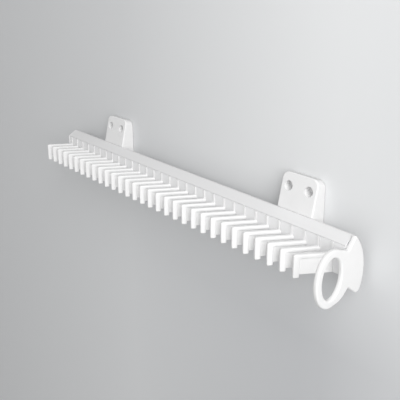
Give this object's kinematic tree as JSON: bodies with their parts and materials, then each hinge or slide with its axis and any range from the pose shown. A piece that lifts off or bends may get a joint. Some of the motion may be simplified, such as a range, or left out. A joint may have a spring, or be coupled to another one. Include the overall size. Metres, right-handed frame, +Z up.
{
  "type": "sliding tie rack",
  "caption": "White moulded sliding tie rack for a wardrobe wall: brackets, a guide rail with a sloping cover, a pull-out bar of angled tie hooks and a half-moon pull plate with a finger ring.",
  "frame": {"origin": "middle of the front bracket's wall face, midway between its two wall-screw holes", "axes": "+X along the rail towards the pull ring, +Y into the wall, +Z up"},
  "size_m": [0.4879, 0.0718, 0.0889],
  "materials": {
    "bracket_white": "satin moulded",
    "rail_white": "satin extruded",
    "bar_white": "satin extruded",
    "hook_white": "satin moulded",
    "pull_white": "semi-gloss moulded",
    "screw_steel": "zinc plated"
  },
  "bodies": {
    "wall_rail": {"bracket_front": "bracket_white", "bracket_rear": "bracket_white", "guide_rail": "rail_white", "rail_end_cap": "rail_white", "rail_screw_1": "screw_steel", "rail_screw_2": "screw_steel", "rail_screw_3": "screw_steel", "rail_screw_4": "screw_steel", "slide_stop": "screw_steel"},
    "tie_slide": {"slide_bar": "bar_white", "glide_shoe": "bar_white", "pull_plate": "pull_white", "hook_01": "hook_white", "hook_02": "hook_white", "hook_03": "hook_white", "hook_04": "hook_white", "hook_05": "hook_white", "hook_06": "hook_white", "hook_07": "hook_white", "hook_08": "hook_white", "hook_09": "hook_white", "hook_10": "hook_white", "hook_11": "hook_white", "hook_12": "hook_white", "hook_13": "hook_white", "hook_14": "hook_white", "hook_15": "hook_white", "hook_16": "hook_white", "hook_17": "hook_white", "hook_18": "hook_white", "hook_19": "hook_white", "hook_20": "hook_white", "hook_21": "hook_white", "hook_22": "hook_white", "hook_23": "hook_white", "hook_24": "hook_white", "hook_25": "hook_white", "hook_26": "hook_white", "hook_27": "hook_white", "hook_28": "hook_white", "hook_29": "hook_white", "hook_30": "hook_white", "hook_31": "hook_white"}
  },
  "joints": [
    {"name": "slide_out", "type": "slide", "parent": "wall_rail", "child": "tie_slide", "axis": [1, 0, 0], "range_m": [0, 0.3]}
  ]
}
